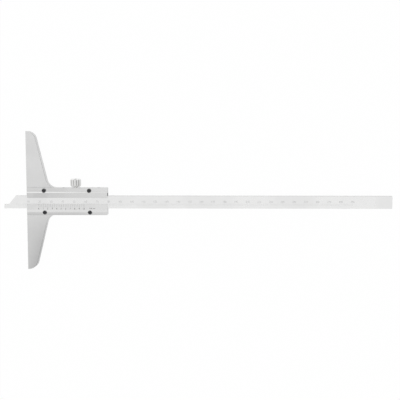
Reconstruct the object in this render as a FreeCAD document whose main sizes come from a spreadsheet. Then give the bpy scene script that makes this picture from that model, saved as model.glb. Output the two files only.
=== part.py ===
import FreeCAD, Part
import os
import re
import Sketcher

# Vernier depth gauge, 0 to 250 mm, lying on its back with the graduated side up.
#
# Row frame, in millimetres: X runs along the beam, with the measuring face of the base at X = 0 and
# the nose of the beam reaching out towards -X. Y runs along the base, with the beam's centreline at
# Y = 0. Z is the thickness, with the back of the base and slider at Z = 0 and the scales on top.
#
# The slider and the two wings of the base are one milled piece. A channel in it holds the beam, a
# brass gib strip takes up the play above the beam, and two bevelled plates screwed on top close the
# channel and leave a window over the scale. The lower plate carries the vernier.

# Driving dimensions: name, value, and what it measures
SIZE_ROWS = (
    # Base
    ("base_length", 120, "measuring face, from wing tip to wing tip"),
    ("base_offset", 1.2, "middle of the base from the beam's centreline, towards the clamp"),
    ("wing_root_depth", 18.8, "depth of a wing where it meets the slider, before the blend"),
    ("wing_tip_depth", 7.0, "depth of a wing at its tip, before the rounding"),
    ("wing_tip_flat", 0.8, "straight end of a wing's tip, from the measuring face to the rounding"),
    ("wing_root_radius", 8.7, "blend between a wing and the slider"),
    ("edge_break", 0.3, "bevel on the outer edges of the base and slider"),
    # Slider
    ("frame_length", 70, "slider, from the measuring face to its rear end"),
    ("frame_upper_side", 12.4, "beam centreline to the slider's clamp side"),
    ("frame_lower_side", 11.2, "beam centreline to the slider's vernier side"),
    ("frame_corner_radius", 0.5, "rear corners of the slider and plates"),
    ("back_wall", 2.6, "wall behind the beam"),
    ("gib_gap", 2.3, "channel width above the beam, for the gib strip"),
    ("slide_clearance", 0.05, "running gap on each side of the beam"),
    ("overrun", 1.0, "how far a cutting profile reaches past the metal"),
    # Beam
    ("beam_length", 335, "beam, from its nose to its rear end"),
    ("beam_width", 11, "beam, across the scale"),
    ("beam_thickness", 4, "beam, front to back"),
    ("beam_edge_break", 0.2, "bevel along the beam's edges"),
    ("beam_corner_radius", 0.6, "corners of the beam's rear end"),
    ("nose_width", 3.5, "narrow nose of the beam"),
    ("nose_length", 4.0, "nose, from its end to the slanted shoulder"),
    ("nose_shoulder_run", 6.1, "slanted shoulder, along the beam"),
    ("nose_corner_radius", 0.8, "inner corner between the nose and its shoulder"),
    ("rest_reading", 19.5, "how far the nose stands out at rest"),
    # Plates
    ("plate_thickness", 2.0, "both plates, seat to ridge"),
    ("plate_setback", 0.6, "plates' front ends behind the measuring face"),
    ("plate_end_break", 0.15, "bevel on the plates' ends"),
    ("window_upper_edge", 3.6, "beam centreline to the keeper plate"),
    ("window_lower_edge", 1.7, "beam centreline to the vernier plate"),
    ("keeper_edge_thickness", 0.35, "thin edge of the keeper plate"),
    ("keeper_bevel_run", 4.6, "width of the keeper plate's bevel"),
    ("keeper_ridge_width", 0.9, "flat ridge of the keeper plate"),
    ("keeper_step_drop", 0.5, "outer band of the keeper plate below its ridge"),
    ("vernier_edge_thickness", 0.3, "thin edge of the vernier plate"),
    ("vernier_bevel_run", 4.95, "width of the bevel that carries the vernier"),
    ("vernier_land_width", 1.7, "flat land beside that bevel"),
    ("vernier_outer_drop", 1.0, "fall of the outer bevel to the slider's side"),
    # Plate screws, M2 cheese head
    ("screw_diameter", 2.0, "tapped hole of a plate screw"),
    ("screw_head_diameter", 3.6, "head of a plate screw"),
    ("screw_head_height", 1.25, "head of a plate screw"),
    ("screw_head_break", 0.3, "bevel on the upper edge of the head"),
    ("screw_slot_width", 0.6, "driver slot"),
    ("screw_slot_depth", 0.6, "driver slot"),
    ("screw_seat_height", 0.95, "plate metal left under a head"),
    ("screw_grip", 3.4, "thread of a plate screw below the plate"),
    ("screw_end_break", 0.25, "bevel on the end of a thread"),
    ("head_clearance", 0.1, "gap around a head in its counterbore"),
    ("shank_clearance", 0.1, "gap around a shank in its plate"),
    ("thread_clearance", 0.02, "gap around a thread in its tapped hole"),
    ("tap_depth_spare", 0.4, "tapped hole beyond the end of its screw"),
    ("keeper_screw_front", 15.5, "front keeper screw, from the measuring face"),
    ("keeper_screw_inset", 15.4, "rear keeper screw, from the slider's rear end"),
    ("keeper_screw_side", 10.0, "keeper screws, from the beam centreline"),
    ("vernier_screw_front", 16.1, "front vernier screw, from the measuring face"),
    ("vernier_screw_inset", 14.8, "rear vernier screw, from the slider's rear end"),
    ("vernier_screw_side", 8.95, "vernier screws, from the beam centreline"),
    # Gib strip and its grub screws, M2.5
    ("gib_thickness", 1.9, "gib strip, across the channel"),
    ("gib_height", 3.9, "gib strip, front to back"),
    ("gib_end_setback", 4, "gib strip's ends inside the slider's ends"),
    ("gib_edge_break", 0.2, "bevel on the gib strip's edges"),
    ("gib_screw_diameter", 2.5, "tapped hole of a grub screw"),
    ("gib_screw_recess", 0.5, "grub screw below the slider's side"),
    ("gib_screw_spacing", 10.5, "front grub screw, from the clamp screw"),
    ("gib_screw_inset", 3.5, "rear grub screw, from the gib strip's rear end"),
    ("gib_point_diameter", 1.1, "dog point of a grub screw"),
    ("gib_point_length", 0.4, "dog point of a grub screw"),
    ("gib_point_clearance", 0.05, "gap around the dog point in the strip"),
    ("gib_slot_width", 0.45, "driver slot of a grub screw"),
    ("gib_slot_depth", 0.6, "driver slot of a grub screw"),
    # Clamp screw, M3 with a fluted head
    ("clamp_inset", 12.1, "clamp screw, from the rear keeper screw"),
    ("clamp_diameter", 3.0, "tapped hole of the clamp screw"),
    ("clamp_thread_clearance", 0.05, "gap around the clamp screw's thread"),
    ("clamp_mouth_diameter", 3.3, "countersunk mouth of the clamp screw's hole"),
    ("clamp_stand_off", 0.9, "slider to the fluted head at rest"),
    ("clamp_neck_diameter", 2.5, "undercut neck beneath the head"),
    ("clamp_neck_length", 1.6, "undercut neck, along the screw"),
    ("knob_diameter", 9.2, "fluted head"),
    ("knob_height", 6.8, "fluted head, along the screw"),
    ("knob_edge_break", 0.9, "bevels of the fluted head"),
    ("knob_dish_diameter", 5.4, "shallow dish in the head's end"),
    ("knob_dish_depth", 0.5, "shallow dish in the head's end"),
    ("flute_diameter", 1.1, "round grooves of the head, centred on its rim"),
    ("flute_turn", 12, "turn of the head at rest, in degrees"),
    # Clamp shoe, a brass pad on the end of the clamp screw
    ("shoe_diameter", 2.6, "brass shoe"),
    ("shoe_height", 1.4, "brass shoe, along the screw"),
    ("shoe_gap", 0.12, "shoe to gib strip at rest, with the clamp eased"),
    ("shoe_edge_break", 0.2, "bevel of the shoe's pressing face"),
    ("shoe_play", 0.05, "gap between the shoe and the screw's end"),
    ("shoe_pin_diameter", 1.3, "pin of the clamp screw in the shoe"),
    ("shoe_pin_length", 0.8, "pin of the clamp screw in the shoe"),
)

# Grooves round the clamp screw's head
FLUTE_COUNT = 12

# How near a point must lie to a plane or corner to count as on it, as a share of the edge bevel
NEAR_SHARE = 0.1

doc = FreeCAD.newDocument("DepthGauge")
sheet = doc.addObject("Spreadsheet::Sheet", "Sizes")
for row, (alias, value, meaning) in enumerate(SIZE_ROWS, start=1):
    sheet.set(f"A{row}", alias)
    sheet.set(f"B{row}", str(value))
    sheet.set(f"C{row}", meaning)
    sheet.setAlias(f"B{row}", alias)
doc.recompute()

ALIASES = {alias for alias, value, meaning in SIZE_ROWS}

# Places that several pieces share, each worked out from the sheet's sizes
UPPER_TIP = "(base_length / 2 + base_offset)"
LOWER_TIP = "(base_length / 2 - base_offset)"
UPPER_WING = f"({UPPER_TIP} - frame_upper_side)"
WING_TAPER = "(wing_root_depth - wing_tip_depth)"
WING_SLOPE = f"sqrt({UPPER_WING} ^ 2 + {WING_TAPER} ^ 2)"
TIP_ROUNDING = f"((wing_tip_depth - wing_tip_flat) * {UPPER_WING} / ({WING_SLOPE} - {WING_TAPER}))"
HALF_BEAM = "(beam_width / 2)"
BEAM_MIDDLE = "(back_wall + slide_clearance + beam_thickness / 2)"
PLATE_SEAT = "(back_wall + beam_thickness + 2 * slide_clearance)"
CHANNEL_LOWER = "(beam_width / 2 + slide_clearance)"
CHANNEL_UPPER = "(beam_width / 2 + gib_gap)"
GIB_UPPER = "(beam_width / 2 + slide_clearance + gib_thickness)"
GIB_LENGTH = "(frame_length - 2 * gib_end_setback)"
KEEPER_RIDGE = "(window_upper_edge + keeper_bevel_run)"
VERNIER_RIDGE = "(window_lower_edge + vernier_bevel_run)"
HEAD_SEAT = f"({PLATE_SEAT} + screw_seat_height)"
SHOE_UNDERSIDE = f"({GIB_UPPER} + shoe_gap)"
KEEPER_SCREW_REAR = "(frame_length - keeper_screw_inset)"
VERNIER_SCREW_REAR = "(frame_length - vernier_screw_inset)"
CLAMP_PLACE = f"({KEEPER_SCREW_REAR} - clamp_inset)"
GIB_SCREW_FRONT = f"({CLAMP_PLACE} - gib_screw_spacing)"
GIB_SCREW_REAR = "(frame_length - gib_end_setback - gib_screw_inset)"


def in_sheet(expression):
    """The same expression with each size named in the way that the document refers to its sheet."""
    return re.sub(r"[a-z_]+", lambda word: f"Sizes.{word[0]}" if word[0] in ALIASES else word[0],
                  expression)


def size_of(expression):
    """The value of an expression now, in millimetres."""
    return float(sheet.evalExpression(in_sheet(expression)))


def bind(item, name, expression):
    """Make a property follow the sheet."""
    item.setExpression(name, in_sheet(expression))


def new_body(label):
    body = doc.addObject("PartDesign::Body", label)
    body.Label = label
    return body


def place(body, along="0", across="0", up="0", side_on=False):
    """Put a body at its place. A piece that is side_on has its own Z turned to the row's +Y."""
    if side_on:
        quarter_turn = FreeCAD.Rotation(FreeCAD.Vector(1, 0, 0), -90)
        body.Placement = FreeCAD.Placement(FreeCAD.Vector(0, 0, 0), quarter_turn)
    bind(body, "Placement.Base.x", along)
    bind(body, "Placement.Base.y", across)
    bind(body, "Placement.Base.z", up)


def new_sketch(body, role, name, offset="0"):
    """A sketch on one of the body's own origin planes, moved along the plane's normal by offset."""
    sketch = body.newObject("Sketcher::SketchObject", f"{body.Label}_{name}")
    plane = [item for item in body.Origin.OriginFeatures if item.Role == role][0]
    sketch.AttachmentSupport = [(plane, "")]
    sketch.MapMode = "FlatFace"
    bind(sketch, "AttachmentOffset.Base.z", offset)
    return sketch


def fix_point(sketch, geometry, point, across, up):
    """Tie one point of a sketch to the sheet by its two distances from the sketch's origin."""
    for kind, expression in (("DistanceX", across), ("DistanceY", up)):
        distance = Sketcher.Constraint(kind, -1, 1, geometry, point, size_of(expression))
        number = sketch.addConstraint(distance)
        bind(sketch, f"Constraints[{number}]", expression)


def draw_outline(sketch, corners):
    """A closed outline of straight lines whose corners are pairs of expressions."""
    points = [FreeCAD.Vector(size_of(across), size_of(up), 0) for across, up in corners]
    first = sketch.GeometryCount
    count = len(points)
    for index in range(count):
        sketch.addGeometry(Part.LineSegment(points[index], points[(index + 1) % count]))
    for index in range(count):
        following = first + (index + 1) % count
        sketch.addConstraint(Sketcher.Constraint("Coincident", first + index, 2, following, 1))
    for index, (across, up) in enumerate(corners):
        fix_point(sketch, first + index, 1, across, up)


def draw_rectangle(sketch, left, right, low, high):
    draw_outline(sketch, ((left, low), (right, low), (right, high), (left, high)))


def draw_circles(sketch, diameter, centres):
    """Circles of one diameter, each centre a pair of expressions."""
    for across, up in centres:
        centre = FreeCAD.Vector(size_of(across), size_of(up), 0)
        number = sketch.addGeometry(Part.Circle(centre, FreeCAD.Vector(0, 0, 1), size_of(diameter) / 2))
        fix_point(sketch, number, 3, across, up)
        round_size = Sketcher.Constraint("Diameter", number, size_of(diameter))
        bind(sketch, f"Constraints[{sketch.addConstraint(round_size)}]", diameter)


def new_feature(body, kind, name, sketch):
    feature = body.newObject(f"PartDesign::{kind}", f"{body.Label}_{name}")
    feature.Profile = sketch
    return feature


def pad(body, name, sketch, length):
    feature = new_feature(body, "Pad", name, sketch)
    bind(feature, "Length", length)
    doc.recompute()
    return feature


def cut_through(body, name, sketch):
    """Cut a profile through the whole body, both ways."""
    feature = new_feature(body, "Pocket", name, sketch)
    feature.Midplane = True
    feature.Type = "ThroughAll"
    return settle_cut(body, feature)


def cut_down(body, name, sketch, depth):
    """Cut a profile down from its sketch, against the sketch's normal."""
    feature = new_feature(body, "Pocket", name, sketch)
    bind(feature, "Length", depth)
    return settle_cut(body, feature)


def drill(body, name, sketch, diameter, depth=None, reverse=False):
    """Plain holes at a sketch's circles, through the body where no depth is given."""
    doc.recompute()
    feature = new_feature(body, "Hole", name, sketch)
    feature.ThreadType = "None"
    feature.DrillPoint = "Flat"
    feature.Reversed = reverse
    bind(feature, "Diameter", diameter)
    if depth is None:
        feature.DepthType = "ThroughAll"
    else:
        feature.DepthType = "Dimension"
        bind(feature, "Depth", depth)
    return settle_cut(body, feature)


def settle_cut(body, feature):
    """Recompute a cut and stop if it took nothing away."""
    before = feature.BaseFeature.Shape.Volume
    doc.recompute()
    if not feature.Shape.Volume < before:
        raise RuntimeError(f"{feature.Label} of {body.Label} cuts nothing")
    return feature


def revolve(body, name, sketch):
    """Turn a profile round the upright axis of its sketch."""
    feature = new_feature(body, "Revolution", name, sketch)
    feature.ReferenceAxis = (sketch, ["V_Axis"])
    feature.Angle = 360
    doc.recompute()
    return feature


def edges_where(feature, test):
    """Names of the edges whose two ends and middle all pass a test."""
    names = []
    for number, edge in enumerate(feature.Shape.Edges, start=1):
        middle = edge.valueAt((edge.FirstParameter + edge.LastParameter) / 2)
        ends = [vertex.Point for vertex in edge.Vertexes]
        if all(test(point) for point in (*ends, middle)):
            names.append(f"Edge{number}")
    return names


def near(value, expression):
    return abs(value - size_of(expression)) < NEAR_SHARE * size_of("edge_break")


def upright_at(along, across):
    """A test for points on the upright line through one corner of a plan."""
    return lambda point: near(point.x, along) and near(point.y, across)


def on_level(*levels):
    """A test for points on one of several levels along Z."""
    return lambda point: any(near(point.z, level) for level in levels)


def dress(body, kind, name, test, size):
    """A Fillet or Chamfer on the body's edges that pass a test."""
    feature = body.newObject(f"PartDesign::{kind}", f"{body.Label}_{name}")
    feature.Base = (feature.BaseFeature, edges_where(feature.BaseFeature, test))
    bind(feature, "Radius" if kind == "Fillet" else "Size", size)
    doc.recompute()
    return feature


def make_frame():
    """Base and slider, milled from one piece: two tapered wings, and a channel open to the top."""
    body = new_body("frame_with_base")
    plan = new_sketch(body, "XY_Plane", "plan")
    draw_outline(plan, (
        ("0", f"-{LOWER_TIP}"),
        ("wing_tip_depth", f"-{LOWER_TIP}"),
        ("wing_root_depth", "-frame_lower_side"),
        ("frame_length", "-frame_lower_side"),
        ("frame_length", "frame_upper_side"),
        ("wing_root_depth", "frame_upper_side"),
        ("wing_tip_depth", UPPER_TIP),
        ("0", UPPER_TIP),
    ))
    pad(body, "blank", plan, PLATE_SEAT)
    lower_tip = upright_at("wing_tip_depth", f"-{LOWER_TIP}")
    upper_tip = upright_at("wing_tip_depth", UPPER_TIP)
    dress(body, "Fillet", "tip_rounding", lambda point: lower_tip(point) or upper_tip(point),
          TIP_ROUNDING)
    lower_root = upright_at("wing_root_depth", "-frame_lower_side")
    upper_root = upright_at("wing_root_depth", "frame_upper_side")
    dress(body, "Fillet", "root_blend", lambda point: lower_root(point) or upper_root(point),
          "wing_root_radius")
    lower_rear = upright_at("frame_length", "-frame_lower_side")
    upper_rear = upright_at("frame_length", "frame_upper_side")
    dress(body, "Fillet", "rear_corners", lambda point: lower_rear(point) or upper_rear(point),
          "frame_corner_radius")
    dress(body, "Chamfer", "edge_bevel", on_level("0", PLATE_SEAT), "edge_break")
    channel = new_sketch(body, "YZ_Plane", "channel")
    draw_rectangle(channel, f"-{CHANNEL_LOWER}", CHANNEL_UPPER, "back_wall", f"{PLATE_SEAT} + overrun")
    cut_through(body, "channel_cut", channel)

    tapped = new_sketch(body, "XY_Plane", "plate_screw_centres", PLATE_SEAT)
    draw_circles(tapped, "screw_diameter", (
        ("keeper_screw_front", "keeper_screw_side"),
        (KEEPER_SCREW_REAR, "keeper_screw_side"),
        ("vernier_screw_front", "-vernier_screw_side"),
        (VERNIER_SCREW_REAR, "-vernier_screw_side"),
    ))
    drill(body, "plate_screw_holes", tapped, "screw_diameter", "screw_grip + tap_depth_spare")

    # The side holes start at the clamp side and break into the gap of the gib strip
    through_rail = f"frame_upper_side - {CHANNEL_UPPER} + gib_gap / 2"
    gib_centres = new_sketch(body, "XZ_Plane", "gib_screw_centres", "-frame_upper_side")
    draw_circles(gib_centres, "gib_screw_diameter", (
        (GIB_SCREW_FRONT, BEAM_MIDDLE),
        (GIB_SCREW_REAR, BEAM_MIDDLE),
    ))
    drill(body, "gib_screw_holes", gib_centres, "gib_screw_diameter", through_rail, reverse=True)
    clamp_centre = new_sketch(body, "XZ_Plane", "clamp_centre", "-frame_upper_side")
    draw_circles(clamp_centre, "clamp_diameter", ((CLAMP_PLACE, BEAM_MIDDLE),))
    clamp_hole = drill(body, "clamp_hole", clamp_centre, "clamp_diameter", through_rail,
                       reverse=True)
    clamp_hole.HoleCutType = "Countersink"
    bind(clamp_hole, "HoleCutDiameter", "clamp_mouth_diameter")
    place(body)


def make_beam():
    """Flat steel beam, with a narrow nose on its lower edge behind a slanted shoulder."""
    body = new_body("beam")
    nose_top = f"(nose_width - {HALF_BEAM})"
    plan = new_sketch(body, "XY_Plane", "plan")
    draw_outline(plan, (
        ("0", f"-{HALF_BEAM}"),
        ("beam_length", f"-{HALF_BEAM}"),
        ("beam_length", HALF_BEAM),
        ("nose_length + nose_shoulder_run", HALF_BEAM),
        ("nose_length", nose_top),
        ("0", nose_top),
    ))
    pad(body, "blade", plan, "beam_thickness")
    dress(body, "Fillet", "nose_corner", upright_at("nose_length", nose_top), "nose_corner_radius")
    lower_rear = upright_at("beam_length", f"-{HALF_BEAM}")
    upper_rear = upright_at("beam_length", HALF_BEAM)
    dress(body, "Fillet", "rear_corners", lambda point: lower_rear(point) or upper_rear(point),
          "beam_corner_radius")
    dress(body, "Chamfer", "edge_bevel", on_level("0", "beam_thickness"), "beam_edge_break")
    place(body, along="-rest_reading", up="back_wall + slide_clearance")


def make_plate(label, section, outer_side, screws):
    """A plate over the channel: its section runs the slider's length, with counterbored holes."""
    body = new_body(label)
    length = "(frame_length - plate_setback)"
    profile = new_sketch(body, "YZ_Plane", "section")
    draw_outline(profile, section)
    pad(body, "strip", profile, length)
    dress(body, "Fillet", "rear_corner", upright_at(length, outer_side), "frame_corner_radius")
    dress(body, "Chamfer", "end_bevel", lambda point: near(point.x, "0") and point.z > 0,
          "plate_end_break")
    centres = new_sketch(body, "XY_Plane", "screw_centres", "plate_thickness")
    clearance_hole = "screw_diameter + 2 * shank_clearance"
    draw_circles(centres, clearance_hole, screws)
    holes = drill(body, "screw_holes", centres, clearance_hole)
    holes.HoleCutType = "Counterbore"
    bind(holes, "HoleCutDiameter", "screw_head_diameter + 2 * head_clearance")
    bind(holes, "HoleCutDepth", "plate_thickness - screw_seat_height")
    place(body, along="plate_setback", up=PLATE_SEAT)


def make_keeper_plate():
    """Upper plate: a long bevel down to the window, a narrow ridge and a lower outer band."""
    ridge_end = f"{KEEPER_RIDGE} + keeper_ridge_width"
    band = "plate_thickness - keeper_step_drop"
    section = (
        ("window_upper_edge", "0"),
        ("frame_upper_side", "0"),
        ("frame_upper_side", band),
        (ridge_end, band),
        (ridge_end, "plate_thickness"),
        (KEEPER_RIDGE, "plate_thickness"),
        ("window_upper_edge", "keeper_edge_thickness"),
    )
    screws = (
        ("keeper_screw_front - plate_setback", "keeper_screw_side"),
        (f"{KEEPER_SCREW_REAR} - plate_setback", "keeper_screw_side"),
    )
    make_plate("keeper_plate", section, "frame_upper_side", screws)


def make_vernier_plate():
    """Lower plate: the vernier's bevel, a flat land and a bevel that falls to the slider's side."""
    section = (
        ("-frame_lower_side", "0"),
        ("-window_lower_edge", "0"),
        ("-window_lower_edge", "vernier_edge_thickness"),
        (f"-{VERNIER_RIDGE}", "plate_thickness"),
        (f"-({VERNIER_RIDGE} + vernier_land_width)", "plate_thickness"),
        ("-frame_lower_side", "plate_thickness - vernier_outer_drop"),
    )
    screws = (
        ("vernier_screw_front - plate_setback", "-vernier_screw_side"),
        (f"{VERNIER_SCREW_REAR} - plate_setback", "-vernier_screw_side"),
    )
    make_plate("vernier_plate", section, "-frame_lower_side", screws)


def cut_slot(body, width, depth, top):
    """A driver slot right across the top of a turned screw."""
    slot = new_sketch(body, "XY_Plane", "slot", top)
    reach = "screw_head_diameter"
    draw_rectangle(slot, f"-{reach}", reach, f"-{width} / 2", f"{width} / 2")
    cut_down(body, "slot_cut", slot, depth)


def make_plate_screw(label, along, across):
    """Slotted cheese-head screw, its head in the plate's counterbore and its thread in the slider."""
    body = new_body(label)
    head = "screw_head_diameter / 2"
    shank = "(screw_diameter / 2 - thread_clearance)"
    end = "-(screw_seat_height + screw_grip)"
    profile = new_sketch(body, "XZ_Plane", "profile")
    draw_outline(profile, (
        ("0", end),
        (f"{shank} - screw_end_break", end),
        (shank, f"{end} + screw_end_break"),
        (shank, "0"),
        (head, "0"),
        (head, "screw_head_height - screw_head_break"),
        (f"{head} - screw_head_break", "screw_head_height"),
        ("0", "screw_head_height"),
    ))
    revolve(body, "turned", profile)
    cut_slot(body, "screw_slot_width", "screw_slot_depth", "screw_head_height")
    place(body, along, across, HEAD_SEAT)


def make_gib_strip():
    """Brass strip on the channel's floor above the beam, with a dimple under each grub screw."""
    body = new_body("gib_strip")
    section = new_sketch(body, "YZ_Plane", "section")
    draw_rectangle(section, "0", "gib_thickness", "0", "gib_height")
    pad(body, "strip", section, GIB_LENGTH)
    dress(body, "Chamfer", "edge_bevel", on_level("0", "gib_height"), "gib_edge_break")
    dimples = new_sketch(body, "XZ_Plane", "dimple_centres", "-gib_thickness")
    dimple = "gib_point_diameter + 2 * gib_point_clearance"
    upright = f"{BEAM_MIDDLE} - back_wall"
    draw_circles(dimples, dimple, (
        (f"{GIB_SCREW_FRONT} - gib_end_setback", upright),
        (f"{GIB_LENGTH} - gib_screw_inset", upright),
    ))
    drill(body, "dimples", dimples, dimple, "gib_point_length + gib_point_clearance", reverse=True)
    place(body, "gib_end_setback", f"{HALF_BEAM} + slide_clearance", "back_wall")


def make_gib_screw(label, along):
    """Grub screw in the clamp-side rail: its dog point sits in the gib strip's dimple."""
    body = new_body(label)
    thread = "(gib_screw_diameter / 2 - thread_clearance)"
    length = f"(frame_upper_side - gib_screw_recess - {GIB_UPPER})"
    profile = new_sketch(body, "XZ_Plane", "profile")
    draw_outline(profile, (
        ("0", "-gib_point_length"),
        ("gib_point_diameter / 2", "-gib_point_length"),
        ("gib_point_diameter / 2", "0"),
        (f"{thread} - screw_end_break", "0"),
        (thread, "screw_end_break"),
        (thread, length),
        ("0", length),
    ))
    revolve(body, "turned", profile)
    cut_slot(body, "gib_slot_width", "gib_slot_depth", length)
    place(body, along, GIB_UPPER, BEAM_MIDDLE, side_on=True)


def make_clamp_screw():
    """Thumb screw: fluted head with a dished end, a neck, a thread and the shoe's pin."""
    body = new_body("clamp_screw")
    knob = "(knob_diameter / 2)"
    thread = "(clamp_diameter / 2 - clamp_thread_clearance)"
    neck = "clamp_neck_diameter / 2"
    head_underside = "(frame_upper_side + clamp_stand_off)"
    thread_end = f"({SHOE_UNDERSIDE} + shoe_height + shoe_play - {head_underside})"
    dish = "(knob_dish_diameter / 2)"
    profile = new_sketch(body, "XZ_Plane", "profile")
    draw_outline(profile, (
        ("0", f"{thread_end} - shoe_pin_length"),
        ("shoe_pin_diameter / 2", f"{thread_end} - shoe_pin_length"),
        ("shoe_pin_diameter / 2", thread_end),
        (f"{thread} - screw_end_break", thread_end),
        (thread, f"{thread_end} + screw_end_break"),
        (thread, "-clamp_neck_length"),
        (neck, "-clamp_neck_length"),
        (neck, "0"),
        (f"{knob} - knob_edge_break", "0"),
        (knob, "knob_edge_break"),
        (knob, "knob_height - knob_edge_break"),
        (f"{knob} - knob_edge_break", "knob_height"),
        (dish, "knob_height"),
        (f"{dish} - knob_dish_depth", "knob_height - knob_dish_depth"),
        ("0", "knob_height - knob_dish_depth"),
    ))
    revolve(body, "turned", profile)

    # One round groove in the rim of the head, repeated all round
    groove = new_sketch(body, "XY_Plane", "groove")
    first_groove = (f"{knob} * cos(flute_turn * 1 deg)", f"-{knob} * sin(flute_turn * 1 deg)")
    draw_circles(groove, "flute_diameter", (first_groove,))
    notch = cut_through(body, "groove_cut", groove)
    flutes = body.newObject("PartDesign::PolarPattern", "clamp_screw_flutes")
    flutes.Originals = [notch]
    flutes.Axis = (groove, ["N_Axis"])
    flutes.Angle = 360
    flutes.Occurrences = FLUTE_COUNT
    body.Tip = flutes
    doc.recompute()
    place(body, CLAMP_PLACE, head_underside, BEAM_MIDDLE, side_on=True)


def make_clamp_shoe():
    """Brass pad that presses on the gib strip, with a socket for the clamp screw's pin."""
    body = new_body("clamp_shoe")
    outer = "shoe_diameter / 2"
    socket = "(shoe_pin_diameter / 2 + shoe_play)"
    socket_floor = "shoe_height - shoe_pin_length"
    profile = new_sketch(body, "XZ_Plane", "profile")
    draw_outline(profile, (
        ("0", "0"),
        (f"{outer} - shoe_edge_break", "0"),
        (outer, "shoe_edge_break"),
        (outer, "shoe_height"),
        (socket, "shoe_height"),
        (socket, socket_floor),
        ("0", socket_floor),
    ))
    revolve(body, "turned", profile)
    place(body, CLAMP_PLACE, SHOE_UNDERSIDE, BEAM_MIDDLE, side_on=True)


make_frame()
make_beam()
make_keeper_plate()
make_vernier_plate()
make_plate_screw("keeper_screw_front", "keeper_screw_front", "keeper_screw_side")
make_plate_screw("keeper_screw_rear", KEEPER_SCREW_REAR, "keeper_screw_side")
make_plate_screw("vernier_screw_front", "vernier_screw_front", "-vernier_screw_side")
make_plate_screw("vernier_screw_rear", VERNIER_SCREW_REAR, "-vernier_screw_side")
make_gib_strip()
make_gib_screw("gib_screw_front", GIB_SCREW_FRONT)
make_gib_screw("gib_screw_rear", GIB_SCREW_REAR)
make_clamp_screw()
make_clamp_shoe()
doc.recompute()

for item in doc.Objects:
    if "Invalid" in item.State or "Error" in item.State:
        raise RuntimeError(f"{item.Label} failed: {item.State}")

os.makedirs("parts", exist_ok=True)
for piece in doc.Objects:
    if piece.TypeId == "PartDesign::Body":
        if piece.Shape.isNull() or not piece.Shape.isValid():
            raise RuntimeError(f"{piece.Label} has no valid shape")
        piece.Shape.exportStep(f"parts/{piece.Label}.step")
        box = piece.Shape.BoundBox
        print(f"{piece.Label}: {len(piece.Shape.Solids)} solid, {piece.Shape.Volume:.2f} mm3, "
              f"X {box.XMin:.2f} to {box.XMax:.2f}, Y {box.YMin:.2f} to {box.YMax:.2f}, "
              f"Z {box.ZMin:.2f} to {box.ZMax:.2f}")
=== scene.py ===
import math

import bmesh
import bpy
from mathutils import Matrix, Vector


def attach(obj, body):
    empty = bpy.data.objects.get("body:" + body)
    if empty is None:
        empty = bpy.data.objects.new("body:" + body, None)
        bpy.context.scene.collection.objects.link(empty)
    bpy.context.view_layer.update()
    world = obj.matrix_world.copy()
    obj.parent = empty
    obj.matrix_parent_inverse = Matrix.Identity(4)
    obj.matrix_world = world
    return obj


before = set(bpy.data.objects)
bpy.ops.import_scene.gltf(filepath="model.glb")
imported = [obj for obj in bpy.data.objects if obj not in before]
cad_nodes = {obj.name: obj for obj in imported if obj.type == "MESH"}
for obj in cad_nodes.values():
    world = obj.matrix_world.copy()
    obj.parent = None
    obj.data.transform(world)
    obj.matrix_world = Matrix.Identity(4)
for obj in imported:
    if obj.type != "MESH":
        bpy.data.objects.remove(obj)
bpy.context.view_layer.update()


# Base and slider: one milled block of tool steel whose two wings taper to rounded tips, ground flat
# and satin chromed to a dull grey in which the grinding lines just show. Its bevels are worn and carry
# a painted highlight, and painted shade darkens the lower wing towards its tip and its sloping side.

AXES = {"X": Vector((1, 0, 0)), "Y": Vector((0, 1, 0)), "Z": Vector((0, 0, 1))}
SCRATCH_SCALE = (55.0, 2600.0, 55.0)
SCRATCH_CUT = (0.72, 0.80)
BEVEL_LEAN = 0.707
BEVEL_SPREAD = (0.08, 0.16)
BLOTCH_WEIGHT = 0.6
STREAK_WEIGHT = 0.4
SCRATCH_WEIGHT = 0.2
RUBBED_SMOOTHER = 0.08
GRINDING_DEPTH = 0.00002


def grey(tone, blue=None):
    """A neutral colour, or one whose blue differs a little."""
    return (tone, tone, tone if blue is None else blue, 1)


def add_node(tree, kind, settings=(), inputs=()):
    """A shader node. Settings are pairs of property and value, inputs pairs of socket and value."""
    made = tree.nodes.new(f"ShaderNode{kind}")
    for name, value in dict(settings).items():
        setattr(made, name, value)
    for socket, value in dict(inputs).items():
        if isinstance(value, bpy.types.NodeSocket):
            tree.links.new(value, made.inputs[socket])
        else:
            made.inputs[socket].default_value = value
    return made


def calculate(tree, operation, *values):
    made = add_node(tree, "Math", {"operation": operation}, enumerate(values))
    return made.outputs[0]


def on_vectors(tree, operation, first, second):
    """What two vectors give: a number for a product or distance, and otherwise a vector."""
    made = add_node(tree, "VectorMath", {"operation": operation}, {0: first, 1: second})
    return made.outputs["Value" if operation in ("DOT_PRODUCT", "DISTANCE") else "Vector"]


def remap(tree, value, stretch, onto=(0.0, 1.0), soft=False):
    """The value's stretch between two numbers, spread onto two others and held at both ends."""
    made = add_node(tree, "MapRange", {"interpolation_type": "SMOOTHSTEP" if soft else "LINEAR"},
                    {"Value": value, "From Min": stretch[0], "From Max": stretch[1],
                     "To Min": onto[0], "To Max": onto[1]})
    return made.outputs["Result"]


def blend_colours(tree, share, first, second):
    made = add_node(tree, "Mix", {"data_type": "RGBA"}, {0: share, 6: first, 7: second})
    return made.outputs[2]


def own_place(tree):
    """Where a spot lies in its piece's own coordinates, in metres."""
    return add_node(tree, "TexCoord").outputs["Object"]


def mottling(tree, place, scale, detail, roughness=0.5):
    """Random soft patches, from about 0 to 1."""
    made = add_node(tree, "TexNoise", (), {"Vector": place, "Scale": scale, "Detail": detail,
                                           "Roughness": roughness})
    return made.outputs["Fac"]


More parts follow.
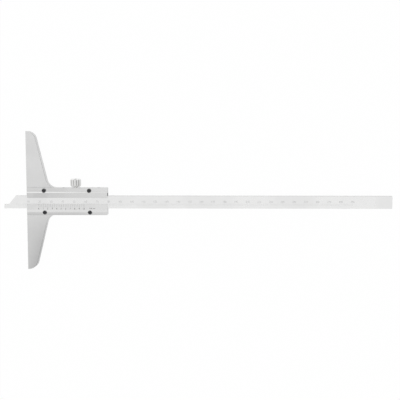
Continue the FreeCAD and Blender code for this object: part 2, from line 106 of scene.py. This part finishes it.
def relief(tree, height, strength, depth):
    """Normals of a surface with fine hills up to a depth in metres."""
    made = add_node(tree, "Bump", (), {"Strength": strength, "Distance": depth, "Height": height})
    return made.outputs["Normal"]


def new_group(name, inputs, outputs):
    """An empty shader node group with named sockets, and the sockets at its start and at its end."""
    group = bpy.data.node_groups.new(name, "ShaderNodeTree")
    for label, kind, value in inputs:
        socket = group.interface.new_socket(name=label, in_out="INPUT", socket_type=kind)
        socket.default_value = value
    for label in outputs:
        group.interface.new_socket(name=label, in_out="OUTPUT", socket_type="NodeSocketFloat")
    start = group.nodes.new("NodeGroupInput")
    end = group.nodes.new("NodeGroupOutput")
    return group, start.outputs, end.inputs


def place_group(tree, group, inputs):
    made = tree.nodes.new("ShaderNodeGroup")
    made.node_tree = group
    for socket, value in inputs.items():
        made.inputs[socket].default_value = value
    return made.outputs


def bare_tree(owner):
    """The emptied node tree of a new material or world."""
    owner.use_nodes = True
    owner.node_tree.nodes.clear()
    return owner.node_tree


def finish_surface(tree, inputs):
    """A material's Principled shader, with values or sockets for its inputs, and its output."""
    shader = add_node(tree, "BsdfPrincipled", (), inputs)
    add_node(tree, "OutputMaterial", (), {"Surface": shader.outputs["BSDF"]})


def dress(material, *names):
    """Give CAD nodes one material."""
    for name in names:
        slots = cad_nodes[name].data.materials
        slots.clear()
        slots.append(material)


# Grinding: fine streaks along the stretched axis, broad soft blotches and a few stray scratches
grinding, grinding_in, grinding_out = new_group(
    "grinding",
    (("Streak Scale", "NodeSocketVector", (60.0, 4000.0, 4000.0)),
     ("Blotch Scale", "NodeSocketFloat", 45.0),
     ("Scratch Turn", "NodeSocketFloat", 0.35)),
    ("Streaks", "Blotches", "Scratches"),
)
place = own_place(grinding)
stretched = on_vectors(grinding, "MULTIPLY", place, grinding_in["Streak Scale"])
streaks = mottling(grinding, stretched, scale=1.0, detail=2.0)
blotches = mottling(grinding, place, grinding_in["Blotch Scale"], detail=3.0, roughness=0.55)
turned = add_node(grinding, "VectorRotate", {"rotation_type": "Z_AXIS"},
                  {"Vector": place, "Angle": grinding_in["Scratch Turn"]}).outputs[0]
drawn_out = on_vectors(grinding, "MULTIPLY", turned, SCRATCH_SCALE)
rare = mottling(grinding, drawn_out, scale=1.0, detail=2.0)
grinding.links.new(streaks, grinding_out["Streaks"])
grinding.links.new(blotches, grinding_out["Blotches"])
grinding.links.new(remap(grinding, rare, SCRATCH_CUT), grinding_out["Scratches"])

# Worn bevels with a painted highlight: the faces at about 45 degrees to the given axis
edge_wear_and_highlight, edge_wear_and_highlight_in, edge_wear_and_highlight_out = new_group(
    "edge_wear_and_highlights",
    (("Axis", "NodeSocketVector", (0.0, 0.0, 1.0)),
     ("Break-up Scale", "NodeSocketFloat", 260.0)),
    ("Mask",),
)
facing = add_node(edge_wear_and_highlight, "NewGeometry").outputs["True Normal"]
lean = calculate(edge_wear_and_highlight, "ABSOLUTE", on_vectors(edge_wear_and_highlight, "DOT_PRODUCT", facing, edge_wear_and_highlight_in["Axis"]))
off_bevel = calculate(edge_wear_and_highlight, "ABSOLUTE", calculate(edge_wear_and_highlight, "SUBTRACT", lean, BEVEL_LEAN))
on_bevel = remap(edge_wear_and_highlight, off_bevel, BEVEL_SPREAD, onto=(1.0, 0.0))
patches = mottling(edge_wear_and_highlight, own_place(edge_wear_and_highlight), edge_wear_and_highlight_in["Break-up Scale"], detail=3.0)
patchy = remap(edge_wear_and_highlight, patches, (0.35, 0.6), onto=(0.75, 1.0))
edge_wear_and_highlight.links.new(calculate(edge_wear_and_highlight, "MULTIPLY", on_bevel, patchy), edge_wear_and_highlight_out["Mask"])

# Painted light ramp: how far a spot lies along the way from one place to another, from 0 to 1
painted_light_ramp, painted_light_ramp_in, painted_light_ramp_out = new_group(
    "painted_light_ramp",
    (("From", "NodeSocketVector", (0.0, 0.0, 0.0)),
     ("To", "NodeSocketVector", (0.0, 0.0, 1.0))),
    ("Share",),
)
way = on_vectors(painted_light_ramp, "SUBTRACT", painted_light_ramp_in["To"], painted_light_ramp_in["From"])
reached = on_vectors(painted_light_ramp, "SUBTRACT", own_place(painted_light_ramp), painted_light_ramp_in["From"])
along_way = on_vectors(painted_light_ramp, "DOT_PRODUCT", reached, way)
whole_way = on_vectors(painted_light_ramp, "DOT_PRODUCT", way, way)
done = calculate(painted_light_ramp, "DIVIDE", along_way, whole_way)
painted_light_ramp.links.new(remap(painted_light_ramp, done, (0.0, 1.0)), painted_light_ramp_out["Share"])


def ground_steel(name, dark, light, worn_and_highlit, streak_scale, roughness, bump, axis=AXES["Z"]):
    """Ground and chromed steel in two tones, with a third for scratches and a painted highlight on
    bevels.
    """
    material = bpy.data.materials.new(name)
    tree = bare_tree(material)
    marks = place_group(tree, grinding, {"Streak Scale": streak_scale})
    edges = place_group(tree, edge_wear_and_highlight, {"Axis": axis})["Mask"]
    patch = remap(tree, marks["Blotches"], (0.35, 0.65), soft=True)
    shade = calculate(tree, "ADD", calculate(tree, "MULTIPLY", patch, BLOTCH_WEIGHT),
                      calculate(tree, "MULTIPLY", marks["Streaks"], STREAK_WEIGHT))
    scratches = calculate(tree, "MULTIPLY", marks["Scratches"], SCRATCH_WEIGHT)
    face = blend_colours(tree, scratches, blend_colours(tree, shade, dark, light), worn_and_highlit)
    low, high = roughness
    rough = remap(tree, shade, (0.2, 0.8), onto=(high, low))
    smoother = calculate(tree, "MULTIPLY", edges, RUBBED_SMOOTHER)
    height = calculate(tree, "SUBTRACT", marks["Streaks"], scratches)
    # The bevels take the third tone as a painted highlight
    finish_surface(tree, {"Metallic": 1.0,
                          "Base Color": blend_colours(tree, edges, face, worn_and_highlit),
                          "Roughness": calculate(tree, "SUBTRACT", rough, smoother),
                          "Normal": relief(tree, height, bump, GRINDING_DEPTH)})
    return material


def tint(material, share, tone):
    """Bring a tone into a material's colour, by a share that varies over the surface."""
    tree = material.node_tree
    shader = next(node for node in tree.nodes if node.type == "BSDF_PRINCIPLED")
    colour = shader.inputs["Base Color"]
    tree.links.new(blend_colours(tree, share, colour.links[0].from_socket, tone), colour)


def handled(material, ways, tone, share):
    """Paint light and shade into a material's colour along ways. A way is an axis and its start and
    end.
    """
    tree = material.node_tree
    for axis, start, end in ways:
        line = AXES[axis]
        reached = place_group(tree, painted_light_ramp, {"From": line * start, "To": line * end})["Share"]
        share = calculate(tree, "MULTIPLY", reached, share)
    tint(material, share, tone)


frame_steel = ground_steel(
    "frame_steel", dark=grey(0.61), light=grey(0.675, 0.672), worn_and_highlit=grey(0.93, 0.925),
    streak_scale=(2600.0, 70.0, 2600.0), roughness=(0.30, 0.38), bump=0.12)
# Painted shade darkens the lower wing towards its tip and sloping side, painted light lightens the
# upper tip
handled(frame_steel, (("Y", -0.008, -0.06), ("X", -0.008, 0.016)), tone=grey(0.2), share=0.68)
handled(frame_steel, (("Y", 0.022, 0.036),), tone=grey(0.8, 0.797), share=0.22)
dress(frame_steel, "frame_with_base")


# Beam: a flat bar of hardened steel, ground along its length and satin chromed. It carries the main
# scale, 290 mm in fine 1 mm lines, numbered every 10 mm. They are etched and filled, and the fill is
# worn to a thin grey by the sliding plates, between which the scale shows as through a window.

beam_steel = ground_steel(
    "beam_steel", dark=grey(0.777, 0.775), light=grey(0.834, 0.831), worn_and_highlit=grey(0.87, 0.865),
    streak_scale=(45.0, 3600.0, 3600.0), roughness=(0.26, 0.34), bump=0.1)
# Painted shade of the slider darkens the stretch behind the nose, which is mostly in the slider
handled(beam_steel, (("X", 0.085, 0.066), ("X", -0.004, 0.004)), tone=grey(0.5), share=0.12)
dress(beam_steel, "beam")

# Sizes in millimetres, from the measuring face and from the beam's centreline. The lines' tops are
# given by the step at which lines of that height stand.
MM = 0.001
READING = 19.5
VERNIER_ZERO = 10.8
SCALE_START = VERNIER_ZERO - READING
SCALE_LENGTH = 290
BEAM_FACE = 6.65
LINE_FOOT = -3.0
LINE_TOPS = {10: -0.75, 5: -0.95, 1: -1.25}
LINE_WIDTH = 0.05
LINE_NARROWING = 0.8
NUMBER_HEIGHT = 1.7
NUMBER_MIDDLE = 0.3
NUMBER_THINNING = -0.024
NUMBER_NARROWING = 0.9
FILL_PROUD = 0.012
FILL_DEPTH = 0.03
WELD_DISTANCE = 0.0005


def add_line(builder, middle, along, across, up, length, width):
    """A filled line as a low ridge with sloping sides, lying on a face at its middle."""
    corners = []
    for height, narrowing in ((-FILL_DEPTH, 1.0), (FILL_PROUD, LINE_NARROWING)):
        for side, end in ((-1, -1), (1, -1), (1, 1), (-1, 1)):
            point = (middle + across * (side * width / 2 * narrowing)
                     + along * (end * (length / 2 - (1 - narrowing) * width / 2)) + up * height)
            corners.append(builder.verts.new(point * MM))
    for ring in ((3, 2, 1, 0), (4, 5, 6, 7), (0, 1, 5, 4), (1, 2, 6, 5), (2, 3, 7, 6), (3, 0, 4, 7)):
        builder.faces.new([corners[number] for number in ring])


def add_number(builder, text, height, place, thinning=0.0):
    """Figures as thin closed slabs, centred on the origin of place, which gives their plane."""
    curve = bpy.data.curves.new("figures", "FONT")
    curve.body = text
    curve.align_x, curve.align_y = "CENTER", "CENTER"
    curve.resolution_u = 4
    curve.offset = thinning
    stand_in = bpy.data.objects.new("figures", curve)
    bpy.context.scene.collection.objects.link(stand_in)
    bpy.context.view_layer.update()
    flat = stand_in.dimensions.y
    curve.extrude = (FILL_PROUD + FILL_DEPTH) / 2 * flat / height
    bpy.context.view_layer.update()
    mesh = bpy.data.meshes.new_from_object(stand_in)
    scale = height / flat
    sink = Matrix.Translation((0, 0, (FILL_PROUD - FILL_DEPTH) / 2))
    sized = Matrix.Diagonal((scale * NUMBER_NARROWING, scale, scale, 1))
    mesh.transform(Matrix.Scale(MM, 4) @ place @ sink @ sized)
    builder.from_mesh(mesh)
    bpy.data.objects.remove(stand_in)
    bpy.data.meshes.remove(mesh)
    bpy.data.curves.remove(curve)


def finish_piece(name, builder, material, body):
    """Turn built mesh data into a named piece that rides on a CAD body."""
    mesh = bpy.data.meshes.new(name)
    bmesh.ops.remove_doubles(builder, verts=builder.verts, dist=WELD_DISTANCE * MM)
    bmesh.ops.recalc_face_normals(builder, faces=builder.faces)
    builder.to_mesh(mesh)
    builder.free()
    mesh.materials.append(material)
    piece = bpy.data.objects.new(name, mesh)
    bpy.context.scene.collection.objects.link(piece)
    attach(piece, body)


def scale_fill(name, dark, light):
    """Engraving enamel, a little uneven in depth and sheen where it was wiped off."""
    material = bpy.data.materials.new(name)
    tree = bare_tree(material)
    patch = mottling(tree, own_place(tree), scale=900.0, detail=2.0)
    finish_surface(tree, {"Metallic": 0.0,
                          "Base Color": blend_colours(tree, patch, dark, light),
                          "Roughness": remap(tree, patch, (0.3, 0.7), onto=(0.45, 0.65))})
    return material


worn_fill = scale_fill("worn_fill", dark=grey(0.20, 0.202), light=grey(0.32))
lines = bmesh.new()
for value in range(SCALE_LENGTH + 1):
    top = next(top for step, top in LINE_TOPS.items() if value % step == 0)
    middle = Vector((SCALE_START + value, (top + LINE_FOOT) / 2, BEAM_FACE))
    add_line(lines, middle, AXES["Y"], AXES["X"], AXES["Z"], top - LINE_FOOT, LINE_WIDTH)
finish_piece("main_scale_lines", lines, worn_fill, "beam")

numbers = bmesh.new()
for value in range(10, SCALE_LENGTH + 1, 10):
    spot = Matrix.Translation((SCALE_START + value, NUMBER_MIDDLE, BEAM_FACE))
    add_number(numbers, str(value), NUMBER_HEIGHT, spot, NUMBER_THINNING)
finish_piece("main_scale_numbers", numbers, worn_fill, "beam")


# Keeper plate and vernier plate: two strips of bevelled steel screwed to the slider, which hold the
# beam in its channel. The lower one's thin bevel carries the vernier, 20 divisions over 39 mm filled
# with black, which read to 0.05 mm. Both are ground along their length and chromed like the beam.

plate_steel = ground_steel(
    "plate_steel", dark=grey(0.592, 0.59), light=grey(0.66, 0.657), worn_and_highlit=grey(0.78, 0.775),
    streak_scale=(45.0, 3600.0, 3600.0), roughness=(0.27, 0.36), bump=0.1)
# Both plates get painted light to the rear, the vernier plate's outer side painted shade to the front
handled(plate_steel, (("X", 0.028, 0.06),), tone=grey(0.72, 0.717), share=0.8)
handled(plate_steel, (("Y", -0.0085, -0.0112), ("X", 0.08, 0.03)), tone=grey(0.3), share=0.45)
# Their level ridges carry a painted highlight, strongest on the keeper's towards the front
handled(plate_steel, (("Z", 0.00862, 0.00868),), tone=grey(0.735, 0.732), share=0.9)
handled(plate_steel, (("Z", 0.00862, 0.00868), ("Y", 0.007, 0.008), ("X", 0.055, 0.025)),
        tone=grey(0.86, 0.856), share=0.8)
# Painted light lightens the front of the vernier plate more than the keeper plate
handled(plate_steel, (("Y", 0.0, -0.001), ("X", 0.06, 0.02)), tone=grey(0.8, 0.797), share=0.17)
dress(plate_steel, "keeper_plate", "vernier_plate")

VERNIER_EDGE = Vector((0, -1.7, 7.0))
VERNIER_RIDGE = Vector((0, -6.65, 8.7))
VERNIER_STEP = 1.95
VERNIER_LINES = 20
VERNIER_LINE_WIDTH = 0.1
VERNIER_LINE_START = 0.12
VERNIER_LINE_ENDS = (3.2, 2.5)
VERNIER_NUMBER_PLACE = 4.3
VERNIER_NUMBER_HEIGHT = 1.35
UNIT_PLACE = (57.2, 3.9)
UNIT_HEIGHT = 1.1

down_slope = (VERNIER_RIDGE - VERNIER_EDGE).normalized()
along_plate = AXES["X"]
off_slope = along_plate.cross(-down_slope)


def on_slope(along, down):
    """The plane of the vernier's bevel at a distance along the plate and down from its thin edge."""
    spot = VERNIER_EDGE + down_slope * down + along_plate * along
    rows = [(*along_plate, 0), (*-down_slope, 0), (*off_slope, 0), (*spot, 1)]
    return Matrix(rows).transposed()


black_fill = scale_fill("black_fill", dark=grey(0.03, 0.032), light=grey(0.08))
vernier_lines = bmesh.new()
vernier_numbers = bmesh.new()
for index in range(VERNIER_LINES + 1):
    line_end = VERNIER_LINE_ENDS[index % 2]
    along = VERNIER_ZERO + index * VERNIER_STEP
    middle = on_slope(along, (VERNIER_LINE_START + line_end) / 2).to_translation()
    add_line(vernier_lines, middle, down_slope, along_plate, off_slope, line_end - VERNIER_LINE_START,
             VERNIER_LINE_WIDTH)
    if index % 2 == 0:
        add_number(vernier_numbers, str(index // 2), VERNIER_NUMBER_HEIGHT,
                   on_slope(along, VERNIER_NUMBER_PLACE))
add_number(vernier_numbers, "0.05 mm", UNIT_HEIGHT, on_slope(*UNIT_PLACE))
finish_piece("vernier_lines", vernier_lines, black_fill, "slider")
finish_piece("vernier_numbers", vernier_numbers, black_fill, "slider")


# Plate screws and grub screws: four slotted M2 cheese-head screws sunk in the plates, and two slotted
# M2.5 grub screws in the slider's upper side. All are turned from steel and blackened, and the black
# has rubbed off along the edges of their heads and slots.

BLUE_BLACK = (0.035, 0.036, 0.04, 1)
BLACKING_DEPTH = 0.00003
RUBBED_SHARE = 0.85

black_screws = bpy.data.materials.new("black_screws")
tree = bare_tree(black_screws)
edges = place_group(tree, edge_wear_and_highlight, {"Break-up Scale": 2200.0})["Mask"]
patch = mottling(tree, own_place(tree), scale=1400.0, detail=4.0)
black = blend_colours(tree, patch, BLUE_BLACK, grey(0.075, 0.078))
rubbed_off = calculate(tree, "MULTIPLY", edges, RUBBED_SHARE)
finish_surface(tree, {"Metallic": 1.0,
                      "Base Color": blend_colours(tree, rubbed_off, black, grey(0.45)),
                      "Roughness": remap(tree, patch, (0.3, 0.7), onto=(0.36, 0.55)),
                      "Normal": relief(tree, patch, strength=0.3, depth=BLACKING_DEPTH)})
dress(black_screws, "keeper_screw_front", "keeper_screw_rear", "vernier_screw_front",
      "vernier_screw_rear", "gib_screw_front", "gib_screw_rear")


# Gib strip and clamp shoe: plain rolled brass. The strip lies above the beam in the channel, pressed
# by two grub screws, and the shoe sits on the end of the clamp screw so as not to mark it.

DARK_BRASS = (0.55, 0.38, 0.16, 1)
LIGHT_BRASS = (0.78, 0.60, 0.30, 1)

gib_brass = bpy.data.materials.new("gib_brass")
tree = bare_tree(gib_brass)
marks = place_group(tree, grinding, {"Streak Scale": (90.0, 2500.0, 2500.0), "Blotch Scale": 160.0})
finish_surface(tree, {"Metallic": 1.0,
                      "Base Color": blend_colours(tree, marks["Blotches"], DARK_BRASS, LIGHT_BRASS),
                      "Roughness": remap(tree, marks["Streaks"], (0.3, 0.7), onto=(0.30, 0.45)),
                      "Normal": relief(tree, marks["Streaks"], strength=0.2, depth=GRINDING_DEPTH)})
dress(gib_brass, "gib_strip", "clamp_shoe")


# Clamp screw: an M3 thumb screw turned from steel and nickel plated, with twelve round flutes in its
# head for the fingers, darkened by painted shade, and a shallow dish in its end. It locks the beam
# through the shoe and the strip.

SCREW_AXIS = (0.0425, 0.0, 0.00465)
HEAD_MIDDLE = 0.0167
HALF_GRIP = (0.0021, 0.0027)
FLUTE_BOTTOM = 0.00415
HEAD_RIM = 0.00452
FLUTE_SHADE_SHARE = 0.5

clamp_steel = ground_steel(
    "clamp_steel", dark=grey(0.74, 0.733), light=grey(0.84, 0.833), worn_and_highlit=grey(0.90, 0.89),
    streak_scale=(1500.0, 90.0, 1500.0), roughness=(0.06, 0.14), bump=0.2, axis=AXES["Y"])
tree = clamp_steel.node_tree
place = own_place(tree)
crosswise = on_vectors(tree, "MULTIPLY", place, (1.0, 0.0, 1.0))
radius = on_vectors(tree, "DISTANCE", crosswise, SCREW_AXIS)
up_screw = add_node(tree, "SeparateXYZ", (), {0: place}).outputs["Y"]
off_middle = calculate(tree, "ABSOLUTE", calculate(tree, "SUBTRACT", up_screw, HEAD_MIDDLE))
# Painted shade darkens the flutes in the head's grip
in_flutes = remap(tree, radius, (FLUTE_BOTTOM, HEAD_RIM), onto=(FLUTE_SHADE_SHARE, 0.0))
in_grip = remap(tree, off_middle, HALF_GRIP, onto=(1.0, 0.0))
tint(clamp_steel, calculate(tree, "MULTIPLY", in_flutes, in_grip), tone=grey(0.16, 0.155))
dress(clamp_steel, "clamp_screw")


# Studio: the gauge lies on a white table in front of a white backdrop, under a broad soft light from
# the upper left, and is seen from above with a slight lean towards the clamp screw.

FLOOR_HALF = 3.0
FLOOR_LEVEL = -0.0001
FLOOR_GLOW_SHARE = 0.98
MIRRORED_GLOW_SHARE = 0.8
PAPER_TONE = 0.9
SIDE_REACH = (-0.9, 0.9)
SIDE_LIGHT = (0.85, 0.42)
OVERHEAD_REACH = (0.15, 0.8)
LAMP_PLACE = Vector((-0.68, 0.39, 0.62))
LAMP_SIZE = 1.0
LAMP_POWER = 0.5
AIM = Vector((0.15016, 0.00193, 0.0065))
CAMERA_DISTANCE = 0.6
CAMERA_PITCH = math.radians(5.05)
CAMERA_YAW = math.radians(0.94)
CAMERA_LENS = 62.6
CAMERA_NEAR_LIMIT = 0.01

table_mesh = bmesh.new()
bmesh.ops.create_grid(table_mesh, x_segments=12, y_segments=12, size=FLOOR_HALF)
mesh = bpy.data.meshes.new("table")
table_mesh.to_mesh(mesh)
table_mesh.free()
table = bpy.data.objects.new("table", mesh)
table.location = (AIM.x, AIM.y, FLOOR_LEVEL)
bpy.context.scene.collection.objects.link(table)

# The table shows white to the camera, a little less so in the metal, and takes shadows as paper does
white = bpy.data.materials.new("table_white")
tree = bare_tree(white)
ray = add_node(tree, "LightPath").outputs
seen = calculate(tree, "MULTIPLY", ray["Is Camera Ray"], FLOOR_GLOW_SHARE)
bounced = calculate(tree, "MAXIMUM", ray["Is Glossy Ray"], ray["Is Transmission Ray"])
mirrored = calculate(tree, "MULTIPLY", bounced, MIRRORED_GLOW_SHARE)
paper = add_node(tree, "BsdfDiffuse", (), {"Color": grey(PAPER_TONE)})
glow = add_node(tree, "Emission", (), {"Color": grey(1.0), "Strength": 1.0})
mixed = add_node(tree, "MixShader", (), {0: calculate(tree, "MAXIMUM", seen, mirrored),
                                         1: paper.outputs[0], 2: glow.outputs[0]})
add_node(tree, "OutputMaterial", (), {"Surface": mixed.outputs[0]})
table.data.materials.append(white)

# The room is brightest overhead and lighter at the left than at the right, and shows white
world = bpy.data.worlds.new("studio")
bpy.context.scene.world = world
tree = bare_tree(world)
ray = add_node(tree, "LightPath").outputs
parts = add_node(tree, "SeparateXYZ", (), {0: add_node(tree, "TexCoord").outputs["Generated"]}).outputs
side = remap(tree, parts["X"], SIDE_REACH, onto=SIDE_LIGHT)
overhead = remap(tree, parts["Z"], OVERHEAD_REACH, soft=True)
room = add_node(tree, "Mix", (), {0: overhead, 2: side, 3: 1.0}).outputs[0]
shown = add_node(tree, "Mix", (), {0: ray["Is Camera Ray"], 2: room, 3: 1.0}).outputs[0]
tone = add_node(tree, "CombineColor", (), {0: shown, 1: shown, 2: shown}).outputs[0]
background = add_node(tree, "Background", (), {"Color": tone, "Strength": 1.0})
add_node(tree, "OutputWorld", (), {"Surface": background.outputs[0]})

lamp_data = bpy.data.lights.new("softbox", "AREA")
lamp_data.shape = "SQUARE"
lamp_data.size = LAMP_SIZE
lamp_data.energy = LAMP_POWER
lamp = bpy.data.objects.new("softbox", lamp_data)
lamp.location = LAMP_PLACE
lamp.rotation_euler = (AIM - LAMP_PLACE).to_track_quat("-Z", "Y").to_euler()
bpy.context.scene.collection.objects.link(lamp)

toward_camera = Vector((math.sin(CAMERA_YAW) * math.cos(CAMERA_PITCH), math.sin(CAMERA_PITCH),
                        math.cos(CAMERA_YAW) * math.cos(CAMERA_PITCH))).normalized()
picture_right = AXES["Y"].cross(toward_camera).normalized()
picture_up = toward_camera.cross(picture_right)
stand = AIM + toward_camera * CAMERA_DISTANCE
camera_data = bpy.data.cameras.new("camera")
camera_data.lens = CAMERA_LENS
camera_data.clip_start = CAMERA_NEAR_LIMIT
camera = bpy.data.objects.new("camera", camera_data)
camera.matrix_world = Matrix([(*picture_right, 0), (*picture_up, 0), (*toward_camera, 0),
                              (*stand, 1)]).transposed()
bpy.context.scene.collection.objects.link(camera)
bpy.context.scene.camera = camera
bpy.context.scene.view_settings.view_transform = "Standard"
